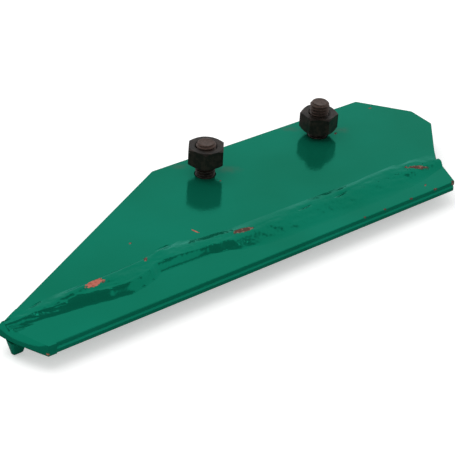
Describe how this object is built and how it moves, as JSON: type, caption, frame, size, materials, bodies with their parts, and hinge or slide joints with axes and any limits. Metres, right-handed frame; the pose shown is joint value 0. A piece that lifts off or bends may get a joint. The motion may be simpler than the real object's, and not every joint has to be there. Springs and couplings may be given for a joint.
{
  "type": "share wing",
  "caption": "Flat bolt-on wing blade for a cultivator share, tapering to a point, with a welded layered cutting edge, a lug under the tip and countersunk bolts with loose nuts.",
  "frame": {"origin": "midway between the two bolts, on the face that bolts to the share leg", "axes": "+X along the bolt line towards the wide end, +Y towards the straight rear edge, +Z out of the mounting face, the way the bolts stand out"},
  "size_m": [0.3079, 0.1005, 0.038],
  "materials": {
    "green_paint": "glossy sprayed green enamel over steel, with chips down to salmon primer",
    "black_steel": "black oxide on steel, with a thin brownish oil film"
  },
  "bodies": {
    "root": {"wing_plate": "green_paint", "cutting_strip": "green_paint", "wear_bar": "green_paint", "weld_bead": "green_paint", "nose_weld": "green_paint", "nose_lug": "green_paint", "bolt_left": "black_steel", "bolt_right": "black_steel", "nut_left": "black_steel", "nut_right": "black_steel"}
  },
  "joints": []
}
